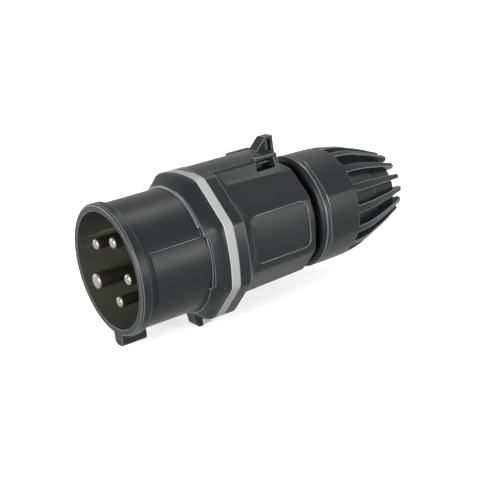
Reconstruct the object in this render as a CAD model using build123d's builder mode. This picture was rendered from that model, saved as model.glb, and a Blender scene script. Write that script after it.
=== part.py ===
"""Five-pin industrial plug, 16 A three-phase, with a cable gland.

The X axis is the plug's own axis. X = 0 is the front face of the collar rim, and the cable
leaves towards +X. +Z is the side of the lid catch, and the polarising key is at 6 o'clock.
"""
import os
from math import atan2, cos, degrees, radians, sin, sqrt

from build123d import *

# Collar, which goes into the shroud of a socket.
RIM_R = 28.5            # outside of the thickened rim
RIM_LENGTH = 4.3
RIM_EDGE = 0.7
RIM_GROOVE = 0.8
COLLAR_R = 27.3         # outside of the collar behind the rim
COLLAR_BORE_R = 25.3
COLLAR_DEPTH = 35.0     # rim face to the face of the contact carrier
KEY_WIDTH = 6.8
KEY_R = 33.2
KEY_LENGTH = 11.7
KEY_EDGE = 2.2
BEAD_X = 32.5           # rounded bead at the root of the collar
BEAD_R = 0.9
PAD_HALF_HEIGHT = 11.2  # pad for a rating label on each side of the collar
PAD_DROP = 0.9          # its middle is this much below the axis
PAD_RISE = 0.25
PAD_X = 7.3
PAD_END_X = 33.9
PAD_CORNER = 2.0

# Contacts. Angles run from 6 o'clock towards the near side, -Y.
PIN_CIRCLE_R = 13.8
PIN_ANGLES = {"pin_l1": 12, "pin_l2": 84, "pin_l3": 156, "pin_neutral": 228, "pin_earth": 300}
PIN_R = 2.5
EARTH_R = 3.5
PIN_TIP_X = 1.3
EARTH_LEAD = 1.7        # the earth pin reaches this much further forward
PIN_NOSE = 1.25         # radius of the rounded tip
NECK_FROM_FACE = 0.6    # in front of the carrier's face the pin steps down to its neck
NECK_STEP = 0.2
BARREL_R = 4.6
BARREL_LENGTH = 18.0
BARREL_SINK = 2.15      # the barrel starts this far inside the carrier's flange
WIRE_BORE_R = 2.1
WIRE_BORE_DEPTH = 13.5
PIN_FIT = 0.05          # slack of a contact in its hole, on the radius

# Terminal screws, and the strips that keep them off the strands of the wire.
CLAMP_SCREW_R = 1.75
CLAMP_HEAD_R = 2.3
CLAMP_HEAD = 1.8
CLAMP_HEAD_GAP = 0.6    # screw head to barrel
CLAMP_FROM_REAR = 8.0   # screw axis to the rear end of the barrel
SCREW_FIT = 0.05
DRIVE_SLOT = 0.8
DRIVE_DEPTH = 0.9
STRIP_WIDTH = 2.0
STRIP_THICKNESS = 0.5
STRIP_LENGTH = 9.0
STRIP_REACH = 1.2       # axis of the wire bore to the inner face of the strip

# Contact carrier, the insulating block that holds the contacts.
WEB_THICKNESS = 3.85    # web of the front shell that the carrier is screwed to
WEB_BEHIND_FACE = 1.0   # the carrier's face stands this much in front of the web
CARRIER_NOSE_R = 19.3
CARRIER_FLANGE_R = 23.4
CARRIER_FLANGE = 4.15
BOSS_WALL = 1.7         # round each barrel
CORE_R = 9.0
FIT = 0.2               # slack between moulded pieces, on the radius
CARRIER_SCREW_CIRCLE_R = 20.9
CARRIER_SCREW_ANGLES = (48, 264)
CARRIER_SCREW_R = 1.3
CARRIER_HEAD_R = 2.2
CARRIER_HEAD = 1.7
CARRIER_SCREW_BITE = 3.0
RETAINER_THICKNESS = 2.2
RETAINER_SCREW_R = 1.7
RETAINER_SCREW_BITE = 9.0
RETAINER_HEAD_R = 3.0
RETAINER_HEAD = 2.0
WIRE_HOLE_R = 2.6

# Flange where front shell, ring and rear housing meet: four bowed sides, four diagonal flats.
SIDES = 4
FLANGE_SIDE = 32.0      # axis to the middle of a bowed side
FLANGE_RISE = 1.5       # how much a side bows
FLANGE_EASE = 0.7       # a diagonal flat is this much nearer the axis
FLANGE_FRONT_X = 38.3   # the shoulder reaches its full size here
SHOULDER_RISE = 0.4     # the shoulder's small end, above the collar
SHOULDER_CORNER = 0.9   # and how much more on the diagonals
SHOULDER_EDGE = 0.5     # the shoulder's large end is rolled over by this much
SHOULDER_ROLL = 1.6     # over this length
RING_X = 39.85
RING_THICKNESS = 4.13
NUB_WIDTH = 6.0
NUB_R = 36.5            # axis to the underside of the nub
NUB_FRONT_X = 35.0
NUB_BROW_X = 36.0       # its front leans back to here, then turns under
NUB_BROW = 1.7
NUB_UNDER_X = 37.7
RING_NUB_STEP = 0.5     # the ring's part of the nub is this much lower
SPIGOT_R = 26.2         # tube of the front shell inside the ring and the rear housing
SPIGOT_LENGTH = 9.2
SPIGOT_BORE_R = 23.6
SEAL_WIDTH = 1.8
SEAL_DEPTH = 1.6
SEAL_FROM_END = 2.4
SEAL_SLACK = 0.1

# Rear housing.
BAND_LENGTH = 5.5       # straight part of its flange
BODY_FRONT_X = 55.5
BODY_SIDE = 26.0
BODY_RISE = 1.4
BODY_FLAT = 26.3
BODY_END_X = 89.3
BODY_END_SIDE = 25.2
BODY_END_RISE = 1.7
BODY_END_FLAT = 25.4
BODY_BORE_R = 23.2
BODY_BORE_END_X = 81.0
BORE_TAPER = 6.0
PANEL_FROM = 1.1        # recessed panel, measured from the front of the body
PANEL_LENGTH = 30.2
PANEL_HEIGHT = 20.7
PANEL_LIFT = 1.15
PANEL_CORNER = 3.5
PANEL_DEPTH = 0.6
PANEL_REACH = 6.0       # depth of the cut that the panel's floor is left out of
RIDGE_TOP_R = 32.6
RIDGE_HALF_WIDTH = 10.9 # at the top
RIDGE_DRAFT = 1.6       # its sides lean out by this much on their way down
RIDGE_FOOT_Z = 24.6
RIDGE_EDGE = 1.8
RIDGE_END_X = 83.7
RIDGE_WALL = 2.2
WINDOW_X = 71.8
WINDOW_LENGTH = 10.0
WINDOW_TOP_Z = 30.3
WINDOW_FLOOR_Z = 25.9
WINDOW_DEPTH = 4.2
WINDOW_STEP = 2.4       # above and below the ledge the pocket is deeper by this much
LEDGE_Z = 28.0
LEDGE = 0.8
LINTEL = 1.2            # bar over each window
LINTEL_Z = 30.7
LINTEL_REACH = 11.2     # axis to its outer side

# Lid catch, the wedge that the hook of a socket's lid drops behind.
CATCH_FOOT_X = 78.8
CATCH_CREST_X = 84.3
CATCH_END_X = 88.6
CATCH_TOP_Z = 37.8
CATCH_WIDTH = 6.2
CATCH_TAIL_WIDTH = 5.0  # behind the crest
CATCH_TAIL_Z = 31.0     # below this the back slopes out to the body
CATCH_TAIL_X = 89.2
CATCH_ROOT_Z = 24.2
CATCH_POCKET_X = 85.3
CATCH_POCKET_LENGTH = 2.0
CATCH_CAP = 1.2
CATCH_WEB = 2.0

# Gland: neck, seal, basket, slip ring and nut.
NECK_R = 22.8
NECK_LENGTH = 1.6
THREAD_R = 21.2
THREAD_END_X = 112.0
NECK_BORE_R = 17.6
SEAT_X = 96.0
SEAT_LIP = 2.0
SEAT_R = 12.5
GLAND_SEAL_LENGTH = 12.2
SEAL_INSERT_R = 10.0
CABLE_R = 6.5
RUBBER_FIT = 0.1
BASKET_RIM_R = 20.6
BASKET_RIM = 2.0
BASKET_BORE_R = 13.2
FINGERS = 8
FINGER_SLOT = 2.2
FINGER_END_X = 131.0
FINGER_WALL = 2.0
SLIP_RING_X = 117.5
SLIP_RING_LENGTH = 11.5
SLIP_RING_WALL = 1.6
RUN = 0.3               # gap between pieces that turn or slide past each other
NUT_X = 94.0
NUT_FRONT_R = 24.3
NUT_LIP_X = 95.9
NUT_LIP_R = 26.0
NUT_LIP = 1.0
NUT_GROOVE_R = 25.2
NUT_BAND_X = 98.4
NUT_BAND_LENGTH = 16.1
NUT_FACES = 8
NUT_CORNER_R = 26.0     # the soft corners of the grip
NUT_FACE_R = 25.3       # axis to the middle of a bowed face
NUT_CORE_R = 25.0       # round core inside the bowed faces
NUT_BORE_LENGTH = 20.6
NUT_CONE_R = 20.2       # the inner cone's large end
NUT_CONE_STEP_X = 131.0
NUT_CONE_STEP_R = 15.8
NUT_MOUTH_X = 145.6
NUT_MOUTH_R = 11.8
RIBS = 16
RIB_SLOT_X = 115.0
RIB_SLOT_ANGLE = 12.0
RIB_SLOT_R = 22.8       # floor of the slots, at their front
RIB_STEP_X = 131.3
RIB_STEP_R = 18.4
RIB_STEP = 1.3
RIB_FLOOR_END_R = 13.9
OGIVE_MIDDLE = (126.0, 23.6)
OGIVE_KNEE = (137.0, 20.2)
RIB_END_X = 149.2
RIB_END_R = 15.4
RIB_TIP_R = 12.9
RIB_CUT_R = 10.9        # the slots end on this radius, inside the mouth

# Places that follow from the sizes above.
FACE_X = COLLAR_DEPTH
WEB_X = FACE_X + WEB_BEHIND_FACE
CARRIER_X = WEB_X + WEB_THICKNESS
BLOCK_X = CARRIER_X + CARRIER_FLANGE
BARREL_X = CARRIER_X + BARREL_SINK
RETAINER_X = BARREL_X + BARREL_LENGTH
CLAMP_X = RETAINER_X - CLAMP_FROM_REAR
HOUSING_X = RING_X + RING_THICKNESS
SPIGOT_END_X = RING_X + SPIGOT_LENGTH
BAND_END_X = HOUSING_X + BAND_LENGTH
SEAL_X = SPIGOT_END_X - SEAL_FROM_END
SEAL_OUTER_R = SPIGOT_R + FIT - SEAL_SLACK
FLANGE_FLAT = FLANGE_SIDE - FLANGE_EASE
SHOULDER_R = COLLAR_R + SHOULDER_RISE
NECK_X = FACE_X - NECK_FROM_FACE
GLAND_SEAL_X = SEAT_X + SEAT_LIP
FINGER_X = THREAD_END_X + BASKET_RIM
NUT_BORE_R = THREAD_R + RUN
NUT_BORE_END_X = NUT_X + NUT_BORE_LENGTH
BOSS_R = BARREL_R + PIN_FIT + BOSS_WALL
RIDGE_FOOT_HALF_WIDTH = RIDGE_HALF_WIDTH + RIDGE_DRAFT

os.makedirs("parts", exist_ok=True)


def on_circle(angle, radius):
    """A place in the plane across the axis, as (y, z), for an angle from 6 o'clock."""
    return -radius * sin(radians(angle)), -radius * cos(radians(angle))


def across(x, y=0.0, z=0.0):
    """The plane across the axis at x, with Y to the right and Z up."""
    return Plane(origin=(x, y, z), x_dir=(0, 1, 0), z_dir=(1, 0, 0))


def outward(x, angle, radius=0.0):
    """The plane that faces away from the axis at this angle, with the axis along its X."""
    y, z = on_circle(angle, 1.0)
    return Plane(origin=(x, radius * y, radius * z), x_dir=(1, 0, 0), z_dir=(0, y, z))


def flange_corner(side, rise, flat):
    """Angle of the corner between a bowed side and a diagonal flat."""
    return degrees(atan2(flat * sqrt(2) - (side - rise), side - rise))


def arcs_round(reach, corner, soft=2.5):
    """Sixteen arcs round the axis, whose polar reach is given: sides, corners and flats."""
    def point(angle):
        return reach(angle) * cos(radians(angle)), reach(angle) * sin(radians(angle))

    stops = []
    step = 360 / SIDES
    for side in range(SIDES):
        middle = side * step
        stops += [middle - corner + soft, middle + corner - soft]
        stops += [middle + corner + soft, middle + step - corner - soft]
    stops.append(stops[0] + 360)
    with BuildSketch() as outline:
        with BuildLine():
            for start, end in zip(stops, stops[1:]):
                ThreePointArc(point(start), point((start + end) / 2), point(end))
        make_face()
    return outline.sketch


def bowed_outline(side, rise, flat):
    """Four bowed sides and four diagonal flats, with softened corners."""
    corner = flange_corner(side, rise, flat)
    half_width = flat * sqrt(2) - (side - rise)
    bow = (half_width ** 2 + rise ** 2) / (2 * rise)

    half_step = 180 / SIDES

    def reach(angle):
        near = abs((angle + half_step) % (2 * half_step) - half_step)
        if near < corner:
            turn = radians(near)
            edge = (side - bow) * cos(turn) + sqrt(bow ** 2 - ((side - bow) * sin(turn)) ** 2)
        else:
            edge = flat / cos(radians(half_step - near))
        softening = 0.25 if abs(near - corner) < 0.01 else 0.0
        crown = 0.08 if abs(near - half_step) < 0.01 else 0.0
        return edge - softening + crown

    return arcs_round(reach, corner)


def shoulder_outline():
    """The nearly round end of the front shoulder, divided like the flange outline."""
    def reach(angle):
        return SHOULDER_R + SHOULDER_CORNER * abs(sin(radians(2 * angle)))

    return arcs_round(reach, flange_corner(FLANGE_SIDE, FLANGE_RISE, FLANGE_FLAT))


def turned_outline(*points):
    """A closed outline of (x, radius) points, to be turned about the axis."""
    with BuildSketch() as outline:
        with BuildLine():
            Polyline(*points, close=True)
        make_face()
    return outline.sketch


def nut_cone(x):
    """Radius of the nut's inner cone at x."""
    slope = (NUT_CONE_R - NUT_CONE_STEP_R) / (NUT_CONE_STEP_X - NUT_BORE_END_X)
    return NUT_CONE_R - slope * (x - NUT_BORE_END_X)


# Front shell: collar, rim, key, shoulder and the spigot inside the rear housing.
with BuildPart() as front_shell:
    roll_x = FLANGE_FRONT_X - SHOULDER_ROLL
    with BuildSketch(across(BEAD_X)):
        add(shoulder_outline())
    with BuildSketch(across(roll_x)):
        add(bowed_outline(FLANGE_SIDE - SHOULDER_EDGE, FLANGE_RISE, FLANGE_FLAT - SHOULDER_EDGE))
    loft(ruled=True)
    with BuildSketch(across(roll_x)):
        add(bowed_outline(FLANGE_SIDE - SHOULDER_EDGE, FLANGE_RISE, FLANGE_FLAT - SHOULDER_EDGE))
    with BuildSketch(across(FLANGE_FRONT_X)):
        add(bowed_outline(FLANGE_SIDE, FLANGE_RISE, FLANGE_FLAT))
    loft(ruled=True)
    with BuildSketch(across(FLANGE_FRONT_X)):
        add(bowed_outline(FLANGE_SIDE, FLANGE_RISE, FLANGE_FLAT))
    extrude(amount=RING_X - FLANGE_FRONT_X)
    with BuildSketch(Plane.XY):
        with Locations((BEAD_X, COLLAR_R - BEAD_R / 3)):
            Circle(BEAD_R)
    revolve(axis=Axis.X)
    for side in (-1, 1):
        with BuildSketch(Plane.XZ):
            with Locations((PAD_END_X - PAD_HALF_HEIGHT, -PAD_DROP)):
                RectangleRounded(2 * PAD_HALF_HEIGHT, 2 * PAD_HALF_HEIGHT, PAD_CORNER)
        extrude(amount=side * FLANGE_SIDE, mode=Mode.SUBTRACT)
    with BuildSketch(across(RIM_LENGTH)):
        Circle(COLLAR_R)
    extrude(amount=RING_X - RIM_LENGTH)
    with BuildSketch(across(PAD_X)):
        Circle(COLLAR_R + PAD_RISE)
        with Locations((0, -PAD_DROP)):
            Rectangle(2 * RIM_R, 2 * PAD_HALF_HEIGHT, mode=Mode.INTERSECT)
    extrude(amount=PAD_END_X - PAD_X)
    with BuildSketch(Plane.XY):
        add(turned_outline((0, 0), (0, RIM_R - RIM_EDGE), (RIM_EDGE, RIM_R), (RIM_LENGTH, RIM_R),
                       (RIM_LENGTH, COLLAR_R - 0.3), (RIM_LENGTH + RIM_GROOVE, COLLAR_R),
                       (RIM_LENGTH + RIM_GROOVE, 0)))
    revolve(axis=Axis.X)
    with BuildSketch(across(0)) as key_section:
        with Locations((0, -KEY_R / 2)):
            Rectangle(KEY_WIDTH, KEY_R)
        fillet(key_section.vertices().group_by(Axis.Y)[0], KEY_EDGE)
    extrude(amount=KEY_LENGTH)
    with BuildSketch(Plane.XZ):
        with BuildLine():
            Polyline((NUB_FRONT_X, 0), (NUB_FRONT_X, -COLLAR_R), (NUB_BROW_X, NUB_BROW - NUB_R),
                     (NUB_UNDER_X, -NUB_R), (RING_X, -NUB_R), (RING_X, 0), close=True)
        make_face()
    extrude(amount=NUB_WIDTH / 2, both=True)
    with BuildSketch(Plane.XY):
        add(turned_outline((RING_X, 0), (RING_X, SPIGOT_R), (SPIGOT_END_X, SPIGOT_R),
                       (SPIGOT_END_X, 0)))
    revolve(axis=Axis.X)
    with BuildSketch(Plane.XY):
        add(turned_outline((-1, 0), (-1, COLLAR_BORE_R), (WEB_X, COLLAR_BORE_R),
                       (WEB_X, CARRIER_NOSE_R + FIT), (CARRIER_X, CARRIER_NOSE_R + FIT),
                       (CARRIER_X, SPIGOT_BORE_R), (SPIGOT_END_X + 1, SPIGOT_BORE_R),
                       (SPIGOT_END_X + 1, 0)))
    revolve(axis=Axis.X, mode=Mode.SUBTRACT)
    groove_floor = SEAL_OUTER_R - SEAL_DEPTH - SEAL_SLACK
    with BuildSketch(Plane.XY):
        with Locations((SEAL_X, (groove_floor + SPIGOT_R + 1) / 2)):
            Rectangle(SEAL_WIDTH + 2 * SEAL_SLACK, SPIGOT_R + 1 - groove_floor)
    revolve(axis=Axis.X, mode=Mode.SUBTRACT)
    with BuildSketch(across(CARRIER_X)):
        for angle in CARRIER_SCREW_ANGLES:
            with Locations(on_circle(angle, CARRIER_SCREW_CIRCLE_R)):
                Circle(CARRIER_SCREW_R + SCREW_FIT)
    extrude(amount=-CARRIER_SCREW_BITE - SCREW_FIT, mode=Mode.SUBTRACT)
front_shell.part.label = "front_shell"
export_step(front_shell.part, "parts/front_shell.step")

# Contact carrier: nose, flange and one boss round each barrel, open outwards for its screw.
with BuildPart() as contact_carrier:
    with BuildSketch(across(FACE_X)):
        Circle(CARRIER_NOSE_R)
    extrude(amount=CARRIER_X - FACE_X)
    with BuildSketch(across(CARRIER_X)):
        Circle(CARRIER_FLANGE_R)
    extrude(amount=CARRIER_FLANGE)
    with BuildSketch(across(BLOCK_X)):
        Circle(CORE_R)
        for angle in PIN_ANGLES.values():
            with Locations(on_circle(angle, PIN_CIRCLE_R)):
                Circle(BOSS_R)
    extrude(amount=RETAINER_X - BLOCK_X)
    for name, angle in PIN_ANGLES.items():
        pin_r = EARTH_R if name == "pin_earth" else PIN_R
        place = on_circle(angle, PIN_CIRCLE_R)
        with BuildSketch(across(FACE_X)):
            with Locations(place):
                Circle(pin_r - NECK_STEP + PIN_FIT)
        extrude(amount=BARREL_X - FACE_X, mode=Mode.SUBTRACT)
        with BuildSketch(across(BARREL_X)):
            with Locations(place):
                Circle(BARREL_R + PIN_FIT)
        extrude(amount=BARREL_LENGTH, mode=Mode.SUBTRACT)
        slot_front = CLAMP_X - CLAMP_HEAD_R - RUN
        with BuildSketch(outward(slot_front, angle, PIN_CIRCLE_R)):
            Rectangle(RETAINER_X - slot_front, 2 * (CLAMP_HEAD_R + RUN),
                      align=(Align.MIN, Align.CENTER))
        extrude(amount=BOSS_R + 1, mode=Mode.SUBTRACT)
    with BuildSketch(across(RETAINER_X)):
        Circle(RETAINER_SCREW_R + SCREW_FIT)
    extrude(amount=-RETAINER_SCREW_BITE - SCREW_FIT, mode=Mode.SUBTRACT)
    with BuildSketch(across(BLOCK_X)):
        for angle in CARRIER_SCREW_ANGLES:
            with Locations(on_circle(angle, CARRIER_SCREW_CIRCLE_R)):
                Circle(CARRIER_SCREW_R + SCREW_FIT)
    extrude(amount=-CARRIER_FLANGE, mode=Mode.SUBTRACT)
contact_carrier.part.label = "contact_carrier"
export_step(contact_carrier.part, "parts/contact_carrier.step")

with BuildPart() as carrier_screws:
    for angle in CARRIER_SCREW_ANGLES:
        y, z = on_circle(angle, CARRIER_SCREW_CIRCLE_R)
        with BuildSketch(across(CARRIER_X - CARRIER_SCREW_BITE, y, z)):
            Circle(CARRIER_SCREW_R)
        extrude(amount=CARRIER_SCREW_BITE + CARRIER_FLANGE)
        with BuildSketch(across(BLOCK_X, y, z)):
            Circle(CARRIER_HEAD_R)
        extrude(amount=CARRIER_HEAD)
        with BuildSketch(across(BLOCK_X + CARRIER_HEAD, y, z)):
            Rectangle(2 * CARRIER_HEAD_R, DRIVE_SLOT)
        extrude(amount=-DRIVE_DEPTH, mode=Mode.SUBTRACT)
carrier_screws.part.label = "carrier_screws"
export_step(carrier_screws.part, "parts/carrier_screws.step")

# Retainer: the plate behind the barrels that keeps the contacts in the carrier.
with BuildPart() as contact_retainer:
    with BuildSketch(across(RETAINER_X)):
        Circle(CORE_R)
        for angle in PIN_ANGLES.values():
            with Locations(on_circle(angle, PIN_CIRCLE_R)):
                Circle(BOSS_R)
        for angle in PIN_ANGLES.values():
            with Locations(on_circle(angle, PIN_CIRCLE_R)):
                Circle(WIRE_HOLE_R, mode=Mode.SUBTRACT)
        Circle(RETAINER_SCREW_R + SCREW_FIT, mode=Mode.SUBTRACT)
    extrude(amount=RETAINER_THICKNESS)
contact_retainer.part.label = "contact_retainer"
export_step(contact_retainer.part, "parts/contact_retainer.step")

with BuildPart() as retainer_screw:
    with BuildSketch(across(RETAINER_X - RETAINER_SCREW_BITE)):
        Circle(RETAINER_SCREW_R)
    extrude(amount=RETAINER_SCREW_BITE + RETAINER_THICKNESS)
    with BuildSketch(across(RETAINER_X + RETAINER_THICKNESS)):
        Circle(RETAINER_HEAD_R)
    extrude(amount=RETAINER_HEAD)
    with BuildSketch(across(RETAINER_X + RETAINER_THICKNESS + RETAINER_HEAD)):
        Rectangle(2 * RETAINER_HEAD_R, DRIVE_SLOT)
    extrude(amount=-DRIVE_DEPTH, mode=Mode.SUBTRACT)
retainer_screw.part.label = "retainer_screw"
export_step(retainer_screw.part, "parts/retainer_screw.step")

# Contacts: a round pin in front, a thinner neck in the carrier's face, and a barrel with a
# wire bore and a screw hole behind.
for name, angle in PIN_ANGLES.items():
    pin_r = EARTH_R if name == "pin_earth" else PIN_R
    tip_x = PIN_TIP_X - EARTH_LEAD if name == "pin_earth" else PIN_TIP_X
    y, z = on_circle(angle, PIN_CIRCLE_R)
    with BuildPart() as contact:
        with BuildSketch(across(tip_x, y, z)):
            Circle(pin_r)
        extrude(amount=NECK_X - tip_x)
        fillet(contact.edges().group_by(Axis.X)[0], PIN_NOSE)
        with BuildSketch(across(NECK_X, y, z)):
            Circle(pin_r - NECK_STEP)
        extrude(amount=BARREL_X - NECK_X)
        with BuildSketch(across(BARREL_X, y, z)):
            Circle(BARREL_R)
        extrude(amount=BARREL_LENGTH)
        with BuildSketch(across(RETAINER_X, y, z)):
            Circle(WIRE_BORE_R)
        extrude(amount=-WIRE_BORE_DEPTH, mode=Mode.SUBTRACT)
        with BuildSketch(outward(CLAMP_X, angle, PIN_CIRCLE_R)):
            Circle(CLAMP_SCREW_R + SCREW_FIT)
        extrude(amount=BARREL_R + 1, mode=Mode.SUBTRACT)
    contact.part.label = name
    export_step(contact.part, f"parts/{name}.step")

strip_outer = STRIP_REACH + STRIP_THICKNESS
with BuildPart() as terminal_screws:
    for angle in PIN_ANGLES.values():
        head_from = BARREL_R + CLAMP_HEAD_GAP
        with BuildSketch(outward(CLAMP_X, angle, PIN_CIRCLE_R + strip_outer)):
            Circle(CLAMP_SCREW_R)
        extrude(amount=head_from - strip_outer)
        with BuildSketch(outward(CLAMP_X, angle, PIN_CIRCLE_R + head_from)):
            Circle(CLAMP_HEAD_R)
        extrude(amount=CLAMP_HEAD)
        with BuildSketch(outward(CLAMP_X, angle, PIN_CIRCLE_R + head_from + CLAMP_HEAD)):
            Rectangle(DRIVE_SLOT, 2 * CLAMP_HEAD_R)
        extrude(amount=-DRIVE_DEPTH, mode=Mode.SUBTRACT)
terminal_screws.part.label = "terminal_screws"
export_step(terminal_screws.part, "parts/terminal_screws.step")

with BuildPart() as wire_guards:
    for angle in PIN_ANGLES.values():
        with BuildSketch(outward(CLAMP_X, angle, PIN_CIRCLE_R + STRIP_REACH)):
            Rectangle(STRIP_LENGTH, STRIP_WIDTH)
        extrude(amount=STRIP_THICKNESS)
wire_guards.part.label = "wire_guards"
export_step(wire_guards.part, "parts/wire_guards.step")

# Grey ring between the two halves.
with BuildPart() as marking_ring:
    with BuildSketch(across(RING_X)):
        add(bowed_outline(FLANGE_SIDE, FLANGE_RISE, FLANGE_FLAT))
        with Locations((0, -(NUB_R - RING_NUB_STEP) / 2)):
            Rectangle(NUB_WIDTH, NUB_R - RING_NUB_STEP)
        Circle(SPIGOT_R + FIT, mode=Mode.SUBTRACT)
    extrude(amount=RING_THICKNESS)
marking_ring.part.label = "marking_ring"
export_step(marking_ring.part, "parts/marking_ring.step")

with BuildPart() as flange_seal:
    with BuildSketch(Plane.XY):
        with Locations((SEAL_X, SEAL_OUTER_R - SEAL_DEPTH / 2)):
            Rectangle(SEAL_WIDTH, SEAL_DEPTH)
    revolve(axis=Axis.X)
flange_seal.part.label = "flange_seal"
export_step(flange_seal.part, "parts/flange_seal.step")

# Cuts for the side panels, whose floors follow the bowed and tapering sides of the body.
with BuildPart() as panel_cuts:
    for side in (-1, 1):
        with BuildSketch(Plane.XZ.offset(-side * (BODY_SIDE - PANEL_REACH))):
            with Locations((BODY_FRONT_X + PANEL_FROM + PANEL_LENGTH / 2, PANEL_LIFT)):
                RectangleRounded(PANEL_LENGTH, PANEL_HEIGHT, PANEL_CORNER)
        extrude(amount=-side * 2 * PANEL_REACH)
    with BuildSketch(across(BODY_FRONT_X)):
        add(bowed_outline(BODY_SIDE - PANEL_DEPTH, BODY_RISE, BODY_FLAT))
    with BuildSketch(across(BODY_END_X)):
        add(bowed_outline(BODY_END_SIDE - PANEL_DEPTH, BODY_END_RISE, BODY_END_FLAT))
    loft(ruled=True, mode=Mode.SUBTRACT)

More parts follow.
